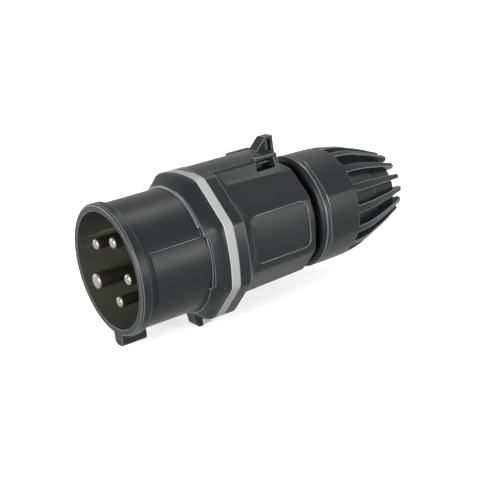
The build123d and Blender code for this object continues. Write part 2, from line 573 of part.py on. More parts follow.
# Rear housing: flange, sloped shoulder, body, ridge with its windows, lid catch and neck.
with BuildPart() as rear_housing:
    with BuildSketch(across(HOUSING_X)):
        add(bowed_outline(FLANGE_SIDE, FLANGE_RISE, FLANGE_FLAT))
    extrude(amount=BAND_LENGTH)
    with BuildSketch(across(BAND_END_X)):
        add(bowed_outline(FLANGE_SIDE, FLANGE_RISE, FLANGE_FLAT))
    with BuildSketch(across(BODY_FRONT_X)):
        add(bowed_outline(BODY_SIDE, BODY_RISE, BODY_FLAT))
    loft(ruled=True)
    with BuildSketch(across(BODY_FRONT_X)):
        add(bowed_outline(BODY_SIDE, BODY_RISE, BODY_FLAT))
    with BuildSketch(across(BODY_END_X)):
        add(bowed_outline(BODY_END_SIDE, BODY_END_RISE, BODY_END_FLAT))
    loft(ruled=True)
    ridge_side_z = sqrt(RIDGE_TOP_R ** 2 - RIDGE_HALF_WIDTH ** 2)
    with BuildSketch(across(HOUSING_X)) as ridge_section:
        with BuildLine():
            Polyline((-RIDGE_HALF_WIDTH, ridge_side_z), (-RIDGE_FOOT_HALF_WIDTH, RIDGE_FOOT_Z),
                     (-RIDGE_FOOT_HALF_WIDTH, 0), (RIDGE_FOOT_HALF_WIDTH, 0),
                     (RIDGE_FOOT_HALF_WIDTH, RIDGE_FOOT_Z), (RIDGE_HALF_WIDTH, ridge_side_z))
            ThreePointArc((-RIDGE_HALF_WIDTH, ridge_side_z), (0, RIDGE_TOP_R),
                          (RIDGE_HALF_WIDTH, ridge_side_z))
        make_face()
        fillet(ridge_section.vertices().group_by(Axis.Y)[-1], RIDGE_EDGE)
    extrude(amount=RIDGE_END_X - HOUSING_X)
    with BuildSketch(across(WINDOW_X)):
        with Locations((0, LINTEL_Z)):
            Rectangle(2 * LINTEL_REACH, LINTEL, align=(Align.CENTER, Align.MIN))
            Rectangle(2 * (LINTEL_REACH - 2 * LINTEL), LINTEL, align=(Align.CENTER, Align.MIN),
                      mode=Mode.SUBTRACT)
    extrude(amount=RIDGE_END_X - WINDOW_X)
    for side in (-1, 1):
        wall_y = side * RIDGE_FOOT_HALF_WIDTH
        with BuildSketch(Plane.XZ.offset(-wall_y)):
            with Locations((WINDOW_X, WINDOW_FLOOR_Z)):
                Rectangle(WINDOW_LENGTH, WINDOW_TOP_Z - WINDOW_FLOOR_Z,
                          align=(Align.MIN, Align.MIN))
        extrude(amount=side * WINDOW_DEPTH, mode=Mode.SUBTRACT)
        with BuildSketch(Plane.XZ.offset(-wall_y)):
            with Locations((WINDOW_X, WINDOW_FLOOR_Z)):
                Rectangle(WINDOW_LENGTH, WINDOW_TOP_Z - WINDOW_FLOOR_Z,
                          align=(Align.MIN, Align.MIN))
            with Locations((WINDOW_X, LEDGE_Z)):
                Rectangle(WINDOW_LENGTH, LEDGE, align=(Align.MIN, Align.MIN),
                          mode=Mode.SUBTRACT)
        extrude(amount=side * (WINDOW_DEPTH + WINDOW_STEP), mode=Mode.SUBTRACT)
    add(panel_cuts.part, mode=Mode.SUBTRACT)
    with BuildSketch(Plane.XZ):
        with BuildLine():
            Polyline((CATCH_FOOT_X, CATCH_ROOT_Z), (CATCH_FOOT_X, RIDGE_TOP_R),
                     (CATCH_CREST_X, CATCH_TOP_Z), (CATCH_CREST_X, CATCH_ROOT_Z), close=True)
        make_face()
    extrude(amount=CATCH_WIDTH / 2, both=True)
    with BuildSketch(Plane.XZ):
        with BuildLine():
            Polyline((CATCH_CREST_X, CATCH_ROOT_Z), (CATCH_CREST_X, CATCH_TOP_Z),
                     (CATCH_END_X, CATCH_TOP_Z), (CATCH_END_X, CATCH_TAIL_Z),
                     (CATCH_TAIL_X, BODY_END_SIDE), (CATCH_TAIL_X, CATCH_ROOT_Z), close=True)
        make_face()
    extrude(amount=CATCH_TAIL_WIDTH / 2, both=True)
    for side in (-1, 1):
        with BuildSketch(Plane.XZ.offset(-side * CATCH_TAIL_WIDTH / 2)):
            with Locations((CATCH_POCKET_X, CATCH_TAIL_Z)):
                Rectangle(CATCH_POCKET_LENGTH, CATCH_TOP_Z - CATCH_CAP - CATCH_TAIL_Z,
                          align=(Align.MIN, Align.MIN))
        extrude(amount=side * (CATCH_TAIL_WIDTH - CATCH_WEB) / 2, mode=Mode.SUBTRACT)
    with BuildSketch(Plane.XY):
        add(turned_outline((BODY_END_X, 0), (BODY_END_X, NECK_R), (BODY_END_X + NECK_LENGTH, NECK_R),
                       (BODY_END_X + NECK_LENGTH, THREAD_R), (THREAD_END_X, THREAD_R),
                       (THREAD_END_X, 0)))
    revolve(axis=Axis.X)
    with BuildSketch(Plane.XY):
        bore_end = BODY_BORE_END_X + BORE_TAPER
        add(turned_outline((HOUSING_X - 1, 0), (HOUSING_X - 1, SPIGOT_R + FIT),
                       (SPIGOT_END_X + FIT, SPIGOT_R + FIT), (SPIGOT_END_X + FIT, BODY_BORE_R),
                       (BODY_BORE_END_X, BODY_BORE_R), (bore_end, NECK_BORE_R),
                       (SEAT_X, NECK_BORE_R), (SEAT_X, SEAT_R),
                       (GLAND_SEAL_X, SEAT_R), (GLAND_SEAL_X, NECK_BORE_R),
                       (THREAD_END_X + 1, NECK_BORE_R), (THREAD_END_X + 1, 0)))
    revolve(axis=Axis.X, mode=Mode.SUBTRACT)
    ridge_hollow = WINDOW_X - RIDGE_WALL - BODY_FRONT_X
    with BuildSketch(across(BODY_FRONT_X)):
        with Locations((0, RIDGE_TOP_R - RIDGE_WALL)):
            Rectangle(2 * (RIDGE_HALF_WIDTH - RIDGE_WALL - RIDGE_EDGE / 2),
                      RIDGE_TOP_R - RIDGE_WALL, align=(Align.CENTER, Align.MAX))
    extrude(amount=ridge_hollow, mode=Mode.SUBTRACT)
rear_housing.part.label = "rear_housing"
export_step(rear_housing.part, "parts/rear_housing.step")

# Rubber seal of the gland, and the inner ring that is pulled out for a thicker cable.
for name, outer, inner in (
    ("gland_seal", NECK_BORE_R - RUBBER_FIT, SEAL_INSERT_R + RUBBER_FIT),
    ("seal_insert", SEAL_INSERT_R, CABLE_R),
):
    with BuildPart() as seal:
        with BuildSketch(across(GLAND_SEAL_X)):
            Circle(outer)
            Circle(inner, mode=Mode.SUBTRACT)
        extrude(amount=GLAND_SEAL_LENGTH)
    seal.part.label = name
    export_step(seal.part, f"parts/{name}.step")

# Clamping basket: a ring on the end of the neck, with fingers that the nut squeezes.
finger_gap = SLIP_RING_WALL + 2 * RUN
with BuildPart() as clamping_basket:
    finger_root_r = nut_cone(FINGER_X) - finger_gap
    finger_end_r = nut_cone(FINGER_END_X) - finger_gap
    seal_end_x = GLAND_SEAL_X + GLAND_SEAL_LENGTH
    with BuildSketch(Plane.XY):
        add(turned_outline((seal_end_x, BASKET_BORE_R), (seal_end_x, NECK_BORE_R - FIT),
                       (THREAD_END_X, NECK_BORE_R - FIT), (THREAD_END_X, BASKET_RIM_R),
                       (FINGER_X, BASKET_RIM_R), (FINGER_X, finger_root_r),
                       (FINGER_END_X, finger_end_r), (FINGER_END_X, finger_end_r - FINGER_WALL),
                       (FINGER_X, finger_root_r - FINGER_WALL), (FINGER_X, BASKET_BORE_R)))
    revolve(axis=Axis.X)
    with BuildSketch(across(FINGER_X)):
        with PolarLocations(0, FINGERS // 2):
            Rectangle(2 * BASKET_RIM_R, FINGER_SLOT, rotation=0)
    extrude(amount=FINGER_END_X - FINGER_X, mode=Mode.SUBTRACT)
clamping_basket.part.label = "clamping_basket"
export_step(clamping_basket.part, "parts/clamping_basket.step")

# Slip ring: it rides in the nut's cone without turning, and presses on the fingers.
with BuildPart() as slip_ring:
    ring_end = SLIP_RING_X + SLIP_RING_LENGTH
    with BuildSketch(Plane.XY):
        add(turned_outline((SLIP_RING_X, nut_cone(SLIP_RING_X) - RUN),
                       (ring_end, nut_cone(ring_end) - RUN),
                       (ring_end, nut_cone(ring_end) - RUN - SLIP_RING_WALL),
                       (SLIP_RING_X, nut_cone(SLIP_RING_X) - RUN - SLIP_RING_WALL)))
    revolve(axis=Axis.X)
slip_ring.part.label = "slip_ring"
export_step(slip_ring.part, "parts/slip_ring.step")

# One of the slots between the ribs of the nut.
with BuildPart() as rib_slot:
    with BuildSketch(Plane.XY):
        add(turned_outline((RIB_SLOT_X, RIB_SLOT_R), (RIB_STEP_X, RIB_STEP_R),
                       (RIB_STEP_X, RIB_STEP_R - RIB_STEP), (NUT_MOUTH_X, RIB_FLOOR_END_R),
                       (NUT_MOUTH_X, RIB_CUT_R), (RIB_END_X + 1, RIB_CUT_R),
                       (RIB_END_X + 1, RIM_R), (RIB_SLOT_X, RIM_R)))
    revolve(axis=Axis.X, revolution_arc=RIB_SLOT_ANGLE)

# Gland nut: chamfered lip, eight-sided grip and a crown of ribs that narrows to the cable.
with BuildPart() as gland_nut:
    band_end = NUT_BAND_X + NUT_BAND_LENGTH
    lip_end = NUT_LIP_X + NUT_LIP
    with BuildSketch(Plane.XY):
        with BuildLine():
            Polyline((band_end, NUT_CORE_R), (NUT_BAND_X, NUT_CORE_R),
                     (NUT_BAND_X, NUT_GROOVE_R), (lip_end, NUT_GROOVE_R), (lip_end, NUT_LIP_R),
                     (NUT_LIP_X, NUT_LIP_R), (NUT_X, NUT_FRONT_R), (NUT_X, NUT_BORE_R),
                     (NUT_BORE_END_X, NUT_BORE_R), (NUT_BORE_END_X, NUT_CONE_R),
                     (NUT_CONE_STEP_X, NUT_CONE_STEP_R), (NUT_MOUTH_X, NUT_MOUTH_R),
                     (RIB_END_X, RIB_TIP_R), (RIB_END_X, RIB_END_R), OGIVE_KNEE)
            ThreePointArc(OGIVE_KNEE, OGIVE_MIDDLE, (band_end, NUT_CORE_R))
        make_face()
    revolve(axis=Axis.X)
    face_step = 360 / NUT_FACES
    with BuildSketch(across(NUT_BAND_X)):
        with BuildLine():
            for face in range(NUT_FACES):
                middle = face * face_step
                ThreePointArc(on_circle(middle - face_step / 2, NUT_CORNER_R),
                              on_circle(middle, NUT_FACE_R),
                              on_circle(middle + face_step / 2, NUT_CORNER_R))
        make_face()
        Circle(NUT_BORE_R, mode=Mode.SUBTRACT)
    extrude(amount=NUT_BAND_LENGTH)
    for rib in range(RIBS):
        start = (rib + 0.5) * 360 / RIBS - RIB_SLOT_ANGLE / 2
        add(rib_slot.part.rotate(Axis.X, start), mode=Mode.SUBTRACT)
gland_nut.part.label = "gland_nut"
export_step(gland_nut.part, "parts/gland_nut.step")
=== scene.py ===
# %% [markdown]
# # A five-pin industrial plug
#
# The plug is a tool-box object: black glass-filled nylon mouldings, one pale grey ring, five
# nickel-plated pins deep in a collar. Nothing on it is shiny on purpose, so the picture lives on
# soft edges, a fine moulded grain and the way the light slides off large curved walls.
#
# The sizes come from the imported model, which is loaded first and is never moved. Lengths in
# this file are in metres, and `mm` turns a size in millimetres into them.

# %% Load the frame
import math
import bpy
import bmesh
from mathutils import Matrix, Vector


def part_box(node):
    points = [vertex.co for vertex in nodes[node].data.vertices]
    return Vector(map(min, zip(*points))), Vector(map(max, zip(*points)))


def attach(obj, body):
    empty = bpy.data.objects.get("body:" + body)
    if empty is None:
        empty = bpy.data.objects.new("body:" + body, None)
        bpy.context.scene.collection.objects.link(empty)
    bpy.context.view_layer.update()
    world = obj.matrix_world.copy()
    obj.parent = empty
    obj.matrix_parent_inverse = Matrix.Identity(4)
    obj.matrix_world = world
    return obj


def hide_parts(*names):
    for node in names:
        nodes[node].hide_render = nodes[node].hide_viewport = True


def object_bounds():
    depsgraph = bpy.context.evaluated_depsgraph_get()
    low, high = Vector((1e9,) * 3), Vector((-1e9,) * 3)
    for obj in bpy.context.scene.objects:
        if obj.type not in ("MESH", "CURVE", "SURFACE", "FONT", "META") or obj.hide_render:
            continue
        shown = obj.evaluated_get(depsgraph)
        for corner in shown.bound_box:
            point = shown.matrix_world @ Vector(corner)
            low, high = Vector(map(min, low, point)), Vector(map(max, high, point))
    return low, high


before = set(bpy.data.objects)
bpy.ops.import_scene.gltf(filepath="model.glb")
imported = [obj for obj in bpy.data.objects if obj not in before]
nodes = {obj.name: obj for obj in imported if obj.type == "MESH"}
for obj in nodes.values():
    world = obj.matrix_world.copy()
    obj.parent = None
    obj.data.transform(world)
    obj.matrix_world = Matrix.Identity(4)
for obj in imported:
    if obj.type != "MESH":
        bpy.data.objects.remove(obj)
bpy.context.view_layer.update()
mm = 0.001
print("nodes:", len(nodes))

# %% [markdown]
# ## Colours and nodes
#
# A colour picked from a picture is an sRGB value, and a shader wants linear light. One function
# does the change, so that every colour below can be read as the hex value that the eye knows.
# The second helper adds a node with its settings and its links, so a material reads as a list.

# %% Colour and node helpers
def linear(hex_value):
    """Turns an sRGB hex colour such as '3A3B3D' into linear RGBA."""
    channels = [int(hex_value[i:i + 2], 16) / 255 for i in (0, 2, 4)]
    light = [c / 12.92 if c <= 0.04045 else ((c + 0.055) / 1.055) ** 2.4 for c in channels]
    return (*light, 1.0)


def add_node(tree, kind, settings=None, **links):
    """Adds a shader node, sets its properties and sockets, and links what is given by name."""
    node = tree.nodes.new(kind)
    for name, value in (settings or {}).items():
        if name in node.inputs:
            node.inputs[name].default_value = value
        else:
            setattr(node, name, value)
    for name, source in links.items():
        tree.links.new(source, node.inputs[name.replace("_", " ")])
    return node


print("black nylon in linear light:", [round(c, 4) for c in linear("1C1D1E")[:3]])

# %% [markdown]
# ## The mouldings
#
# The shells are glass-filled nylon from a spark-eroded mould. The eroded steel leaves a fine
# even grain, about a quarter of a millimetre across, which breaks up the highlights. A slower
# mottle comes from the way the filled plastic flowed. Nylon has an IOR of about 1.53, but the
# grain scatters most of its reflection, so `shine` holds that reflection down. An edge finish has
# the full shine and hardly any grain, and a lighter colour that is a painted highlight. The other
# plastics differ in colour and gloss only.

# %% Moulded plastics
PLASTIC_IOR = 1.53
MOTTLE_SIZE = 14 * mm
GLOSS_SPREAD = 0.05
MIX_A, MIX_B, MIX_RESULT = 6, 7, 2  # colour sockets of a Mix node
FULL_SHINE = 0.5
POLISHED_GRAIN_MM = 0.004


def moulded_plastic(name, colour, flecks, roughness, grain_mm=0.28, grain_height_mm=0.018,
                    shine=0.2):
    """Moulded plastic with an eroded grain and a slow mottle of the surface."""
    material = bpy.data.materials.new(name)
    material.use_nodes = True
    tree = material.node_tree
    shader = tree.nodes["Principled BSDF"]
    shader.inputs["IOR"].default_value = PLASTIC_IOR
    shader.inputs["Specular IOR Level"].default_value = shine
    place = add_node(tree, "ShaderNodeTexCoord").outputs["Object"]
    mottle = add_node(tree, "ShaderNodeTexNoise", {"Scale": 1 / MOTTLE_SIZE, "Detail": 3.0},
                      Vector=place)
    tone = add_node(tree, "ShaderNodeMix", {"data_type": "RGBA"})
    tone.inputs[MIX_A].default_value = linear(colour)
    tone.inputs[MIX_B].default_value = linear(flecks)
    tree.links.new(mottle.outputs["Fac"], tone.inputs[0])
    tree.links.new(tone.outputs[MIX_RESULT], shader.inputs["Base Color"])
    gloss = add_node(tree, "ShaderNodeMapRange", {"To Min": roughness - GLOSS_SPREAD,
                                                  "To Max": roughness + GLOSS_SPREAD},
                     Value=mottle.outputs["Fac"])
    tree.links.new(gloss.outputs[0], shader.inputs["Roughness"])
    grain = add_node(tree, "ShaderNodeTexNoise", {"Scale": 1 / (grain_mm * mm), "Detail": 2.0},
                     Vector=place)
    bump = add_node(tree, "ShaderNodeBump", {"Strength": 0.5, "Distance": grain_height_mm * mm},
                    Height=grain.outputs["Fac"])
    tree.links.new(bump.outputs[0], shader.inputs["Normal"])
    return material


black_nylon = moulded_plastic("moulded_black_nylon", "1C1D1E", "212223", 0.38, shine=0.13)
bore_nylon = moulded_plastic("moulded_bore_nylon", "41423B", "474841", 0.45, shine=0.13)
carrier_nylon = moulded_plastic("moulded_carrier_nylon", "38392F", "3D3E35", 0.42)
ring_plastic = moulded_plastic("moulded_grey_polyamide", "9D9E9D", "A4A5A4", 0.50)
# The two edge finishes below are smoother and glossier than their plastics, and their lighter
# colour is a painted highlight along every bevelled edge.
nylon_edge_painted_highlight = moulded_plastic("glossy_nylon_edge_with_painted_highlight", "56585A", "5E6062", 0.26,
                                 grain_height_mm=POLISHED_GRAIN_MM, shine=FULL_SHINE)
ring_edge_painted_highlight = moulded_plastic("glossy_ring_edge_with_painted_highlight", "D0D1D0", "D6D7D6", 0.30,
                                grain_height_mm=POLISHED_GRAIN_MM, shine=FULL_SHINE)
basket_nylon = moulded_plastic("moulded_natural_nylon", "B9B6AA", "C4C1B6", 0.45)
print("plastics:", [m.name for m in (black_nylon, carrier_nylon, ring_plastic, basket_nylon)])

# %% [markdown]
# ## Metals and rubber
#
# The pins are brass bars, turned and then nickel plated. Turning leaves rings round the pin,
# which run across its length, so a wave texture along X gives a faint streaked gloss. Screws
# are zinc plated, which is duller and a little blue. The seals are matt black rubber.

# %% Turned metal and rubber
def turned_metal(name, colour, roughness, ring_mm=0.25):
    """Metal with the fine rings that a lathe leaves across the X axis."""
    material = bpy.data.materials.new(name)
    material.use_nodes = True
    tree = material.node_tree
    shader = tree.nodes["Principled BSDF"]
    shader.inputs["Base Color"].default_value = linear(colour)
    shader.inputs["Metallic"].default_value = 1.0
    place = add_node(tree, "ShaderNodeTexCoord").outputs["Object"]
    rings = add_node(tree, "ShaderNodeTexWave",
                     {"Scale": 1 / (ring_mm * mm * 2 * math.pi), "Distortion": 1.5},
                     Vector=place)
    gloss = add_node(tree, "ShaderNodeMapRange", {"To Min": roughness - 0.04,
                                                  "To Max": roughness + 0.06},
                     Value=rings.outputs["Fac"])
    tree.links.new(gloss.outputs[0], shader.inputs["Roughness"])
    bump = add_node(tree, "ShaderNodeBump", {"Strength": 0.15, "Distance": 0.004 * mm},
                    Height=rings.outputs["Fac"])
    tree.links.new(bump.outputs[0], shader.inputs["Normal"])
    return material


nickel = turned_metal("nickel_plated_brass", "86847A", 0.32)
zinc = turned_metal("zinc_plated_steel", "B9BDC2", 0.35)
spring_brass = turned_metal("rolled_brass", "D8B466", 0.30)
seal_rubber = moulded_plastic("moulded_nitrile_rubber", "232425", "282929", 0.72, grain_mm=0.5)
print("metals:", nickel.name, zinc.name, spring_brass.name)

# %% [markdown]
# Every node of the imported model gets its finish, also those inside the housing. Further on, the
# two shells and the ring each get a dressed copy, and the nut is modelled anew. Those four
# pieces then take the place of their nodes.

# %% Finish every node of the frame
finishes = {
    "front_shell": black_nylon, "rear_housing": black_nylon, "gland_nut": black_nylon,
    "contact_carrier": carrier_nylon, "contact_retainer": carrier_nylon,
    "marking_ring": ring_plastic, "clamping_basket": basket_nylon, "slip_ring": basket_nylon,
    "pin_l1": nickel, "pin_l2": nickel, "pin_l3": nickel, "pin_neutral": nickel,
    "pin_earth": nickel, "terminal_screws": zinc, "carrier_screws": zinc,
    "retainer_screw": zinc, "wire_guards": spring_brass, "flange_seal": seal_rubber,
    "gland_seal": seal_rubber, "seal_insert": seal_rubber,
}
for node_name, finish in finishes.items():
    mesh = nodes[node_name].data
    mesh.materials.clear()
    mesh.materials.append(finish)
print("finished nodes:", len(finishes), "of", len(nodes))

# %% [markdown]
# ## Shells with moulded edges
#
# No moulding has a knife edge: the tool is cut with small radii, and the polish rounds them
# further. The imported solids are exact but sharp, so each shell is copied, its loose triangles
# are merged into whole faces, and a narrow bevel goes along every outer edge that is sharper
# than a limit. The bevel gets a finish of its own, smoother and glossier than the grain, and
# lighter in colour: a painted highlight along the edge. Inner corners stay sharp and dark.
# Weighted normals then keep the broad faces flat and leave the shine to the radius.
#
# The first cell has the tools for this. They also serve the new pieces: each starts as a
# primitive that is turned onto the X axis, and its faces are picked by a test in code.

# %% Tools for shells and new pieces
SAME_POINT = 0.005 * mm
SAME_PLANE = math.radians(0.5)
SMOOTH_BELOW = math.radians(40)
EDGE_FINISH, BORE_FINISH = 1, 2  # places in a piece's list of materials


def select_only(obj):
    """Makes one object the only selected one, and the active one."""
    bpy.ops.object.select_all(action="DESELECT")
    obj.select_set(True)
    bpy.context.view_layer.objects.active = obj


def new_piece(name, add_primitive, **settings):
    """Adds a primitive with nothing else selected, and turns its Z axis onto the X axis."""
    bpy.ops.object.select_all(action="DESELECT")
    add_primitive(rotation=(0, math.pi / 2, 0), **settings)
    piece = bpy.context.object
    piece.name = name
    bpy.ops.object.transform_apply(location=True, rotation=True, scale=True)
    return piece


def select_faces(obj, wanted):
    """Selects the faces that pass a test, in edit mode, and returns how many there are."""
    bpy.ops.mesh.select_mode(type="FACE")
    bpy.ops.mesh.select_all(action="DESELECT")
    cage = bmesh.from_edit_mesh(obj.data)
    for face in cage.faces:
        face.select_set(wanted(face))
    bmesh.update_edit_mesh(obj.data)
    return sum(face.select for face in cage.faces)


def mark_outer_edges(obj, angle):
    """Gives full bevel weight to each outward edge that is sharper than the angle."""
    select_only(obj)
    bpy.ops.object.mode_set(mode="EDIT")
    bpy.ops.mesh.select_mode(type="EDGE")
    bpy.ops.mesh.select_all(action="DESELECT")
    cage = bmesh.from_edit_mesh(obj.data)
    for edge in cage.edges:
        if len(edge.link_faces) == 2 and edge.is_convex:
            edge.select_set(edge.calc_face_angle() > math.radians(angle))
    bmesh.update_edit_mesh(obj.data)
    bpy.ops.transform.edge_bevelweight(value=1.0)
    bpy.ops.object.mode_set(mode="OBJECT")


def apply_bevel(obj, finish, edge_finish, width, segments=3, angle=28, clamp=True):
    """A moulded radius, with its own finish, on every outward edge sharper than the angle."""
    obj.data.materials.clear()
    obj.data.materials.append(finish)
    obj.data.materials.append(edge_finish)
    mark_outer_edges(obj, angle)
    bevel = obj.modifiers.new("moulded_edge", "BEVEL")
    bevel.width = width
    bevel.segments = segments
    bevel.limit_method = "WEIGHT"
    bevel.material = EDGE_FINISH
    bevel.use_clamp_overlap = clamp
    bpy.ops.object.modifier_apply(modifier=bevel.name)
    bpy.ops.object.shade_smooth_by_angle(angle=SMOOTH_BELOW)
    weighted = obj.modifiers.new("flat_faces", "WEIGHTED_NORMAL")
    weighted.keep_sharp = True
    bpy.ops.object.modifier_apply(modifier=weighted.name)


def merged_copy(node_name, name):
    """A copy of a CAD shell whose loose triangles are merged into whole faces."""
    shell = bpy.data.objects.new(name, nodes[node_name].data.copy())
    bpy.context.scene.collection.objects.link(shell)
    select_only(shell)
    bpy.ops.object.mode_set(mode="EDIT")
    bpy.ops.mesh.select_all(action="SELECT")
    bpy.ops.mesh.remove_doubles(threshold=SAME_POINT)
    bpy.ops.mesh.dissolve_limited(angle_limit=SAME_PLANE)
    bpy.ops.object.mode_set(mode="OBJECT")
    return shell


def hand_over(piece, node_name=None):
    """Makes a piece ride on the housing, and takes over from a CAD node."""
    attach(piece, "housing")
    if node_name:
        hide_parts(node_name)
    print(piece.name, "faces:", len(piece.data.polygons))


print("edges look smooth below", round(math.degrees(SMOOTH_BELOW)), "degrees")

# %% [markdown]
# The rear housing and the marking ring need nothing but their edges. Blender would clamp the
# bevel to the smallest facet of a shell, which would leave almost nothing of it, so the clamp is
# off for the two shells. The price is that faces of the bevel overlap at a few small facets. The
# low walls of the recessed side panels get the edge finish too, where they face up or forward:
# its lighter colour is painted light on these walls.

# %% Rear housing and marking ring
EDGE_WIDTH = 0.2 * mm
PANEL_FRONT, PANEL_BACK = 55 * mm, 91 * mm
PANEL_AWAY = 22 * mm
PANEL_HALF_HEIGHT = 14 * mm


def on_panel_wall(face):
    """True for a low wall of a side panel that faces up or forward."""
    x, y, z = face.center
    along = PANEL_FRONT < x < PANEL_BACK
    near_panel = along and abs(y) > PANEL_AWAY and abs(z) < PANEL_HALF_HEIGHT
    wall = abs(face.normal.y) < 0.3 and face.normal.z > -0.5
    return near_panel and wall and (face.normal.x < -0.3 or face.normal.z > 0.3)


rear = merged_copy("rear_housing", "rear_housing_moulding")
# The housing's bevelled edges take the lighter edge colour, a painted highlight.
apply_bevel(rear, black_nylon, nylon_edge_painted_highlight, EDGE_WIDTH, segments=2, clamp=False)
# Panel walls that face up or forward take the lighter edge colour: painted light on them.
for face in rear.data.polygons:
    if on_panel_wall(face):
        face.material_index = EDGE_FINISH
hand_over(rear, "rear_housing")
ring = merged_copy("marking_ring", "marking_ring_moulding")
# The ring's bevelled edges take a lighter grey, a painted highlight.
apply_bevel(ring, ring_plastic, ring_edge_painted_highlight, EDGE_WIDTH)
hand_over(ring, "marking_ring")

# %% [markdown]
# The front shell has a groove behind its rim, so narrow that it reads as one dark line. The
# first 0.8 mm of the collar is cut off as a strip of its own, and the strip is extruded and
# drawn in towards the axis. The walls of the groove stand square, so no light finds its floor.

# %% Groove behind the rim
RIM_END, GROOVE_END, COLLAR_END = 4.3 * mm, 5.1 * mm, 40 * mm
COLLAR_RADIUS, GROOVE_RADIUS = 27.3 * mm, 26.5 * mm
FACET_SAG = 0.12 * mm


def on_collar(face, x_end):
    """True for a face of the collar's outside between the rim and x_end."""
    x, y, z = face.calc_center_median()
    level = abs(math.hypot(y, z) - COLLAR_RADIUS) < FACET_SAG
    outward = Vector((0, y, z)).normalized().dot(face.normal) > 0.9
    return level and outward and RIM_END < x < x_end


front = merged_copy("front_shell", "front_shell_moulding")
select_only(front)
bpy.ops.object.mode_set(mode="EDIT")
print("collar faces:", select_faces(front, lambda face: on_collar(face, COLLAR_END)))
bpy.ops.mesh.bisect(plane_co=(GROOVE_END, 0, 0), plane_no=(1, 0, 0))
print("strip faces:", select_faces(front, lambda face: on_collar(face, GROOVE_END)))
bpy.ops.mesh.extrude_region_move(TRANSFORM_OT_translate={"value": (0, 0, 0)})
shrink = GROOVE_RADIUS / COLLAR_RADIUS
bpy.ops.transform.resize(value=(1, shrink, shrink), center_override=(0, 0, 0))
bpy.ops.mesh.select_all(action="SELECT")
bpy.ops.mesh.remove_doubles(threshold=SAME_POINT)
bpy.ops.object.mode_set(mode="OBJECT")

# %% [markdown]
# The wall of the collar's bore gets a finish of its own once the edges are done: a lighter grey
# with a faint olive cast, and a rougher surface than the outside.

# %% Edges and bore of the front shell
BORE_RADIUS = 25.3 * mm
bore_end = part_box("contact_carrier")[0][0] + 1 * mm


def on_bore(face):
    """True for a face of the bore's wall that faces the axis."""
    x, y, z = face.center
    inward = Vector((0, y, z)).normalized().dot(face.normal) < -0.7
    return inward and x < bore_end and abs(math.hypot(y, z) - BORE_RADIUS) < 0.3 * mm


# The front shell's bevelled edges take the lighter edge colour, a painted highlight.
apply_bevel(front, black_nylon, nylon_edge_painted_highlight, EDGE_WIDTH, segments=2, clamp=False)
front.data.materials.append(bore_nylon)
bore_faces = [face for face in front.data.polygons if on_bore(face)]
for face in bore_faces:
    face.material_index = BORE_FINISH
print("bore faces:", len(bore_faces))
hand_over(front, "front_shell")

# %% [markdown]
# A slightly raised pad for a rating label lies along each side of the collar. The pads are cut
# out of a cylinder by two level planes, which leaves both sides at once. Thickness comes from a
# solidify modifier, and a small radius softens their outlines.

# %% Label pads
PAD_RADIUS = 27.7 * mm
PAD_START, PAD_END = 7.3 * mm, 33.9 * mm
PAD_TOP, PAD_BOTTOM = 10.3 * mm, -12.1 * mm
PAD_THICKNESS = 0.8 * mm
pads = new_piece("label_pads", bpy.ops.mesh.primitive_cylinder_add, vertices=144,
                 radius=PAD_RADIUS, depth=PAD_END - PAD_START, end_fill_type="NOTHING",
                 location=((PAD_START + PAD_END) / 2, 0, 0))
for level, away in ((PAD_TOP, 1), (PAD_BOTTOM, -1)):
    bpy.ops.object.mode_set(mode="EDIT")
    bpy.ops.mesh.select_all(action="SELECT")
    bpy.ops.mesh.bisect(plane_co=(0, 0, level), plane_no=(0, 0, away), clear_outer=True)
    bpy.ops.object.mode_set(mode="OBJECT")
thick = pads.modifiers.new("thickness", "SOLIDIFY")
thick.thickness = PAD_THICKNESS
thick.offset = -1
bpy.ops.object.modifier_apply(modifier=thick.name)
apply_bevel(pads, black_nylon, black_nylon, EDGE_WIDTH)
hand_over(pads)

# %% [markdown]
# A round bead runs over the collar where it meets the shoulder. It is the upper part of a
# torus, down to the pads, and it takes the glossy edge finish, whose lighter colour is a painted
# highlight along it. A finer one fills the corner between each pad and the shoulder.

# %% Beads at the collar's root
def bead(name, x, radius, thickness, bottom, top):
    """A torus round the X axis in the lighter edge colour, a painted highlight, cut down to the
    faces between two heights.
    """
    piece = new_piece(name, bpy.ops.mesh.primitive_torus_add, major_segments=180,
                      minor_segments=16, major_radius=radius, minor_radius=thickness,
                      location=(x, 0, 0))
    bpy.ops.object.mode_set(mode="EDIT")
    select_faces(piece, lambda face: not bottom < face.calc_center_median().z < top)
    bpy.ops.mesh.delete(type="FACE")
    bpy.ops.mesh.select_mode(type="EDGE")
    bpy.ops.mesh.select_all(action="DESELECT")
    bpy.ops.mesh.select_non_manifold()
    bpy.ops.mesh.edge_face_add()
    bpy.ops.object.mode_set(mode="OBJECT")
    bpy.ops.object.shade_smooth_by_angle(angle=math.radians(50))
    # The whole bead takes the lighter edge colour, a painted highlight.
    piece.data.materials.append(nylon_edge_painted_highlight)
    hand_over(piece)


bead("root_bead", 32.2 * mm, 27.45 * mm, 0.75 * mm, PAD_TOP + 3.4 * mm, math.inf)
bead("pad_bead", 33.8 * mm, 27.8 * mm, 0.35 * mm, PAD_BOTTOM + 1 * mm, PAD_TOP - 0.2 * mm)

# %% [markdown]
# ## The ribbed gland nut
#
# The nut is what a hand turns, so it is the busiest piece: a chamfered lip, a grip with eight
# soft faces, and a crown of sixteen ribs that narrows to the cable and ends in blunt tips. A
# body like this is a lathe job first and a milling job second. A circle is extruded from
# station to station, as a profile is followed on a lathe, and the loop is closed inside. Then
# the grip is pulled into eight faces, the slots are sunk, and the tips are drawn out.

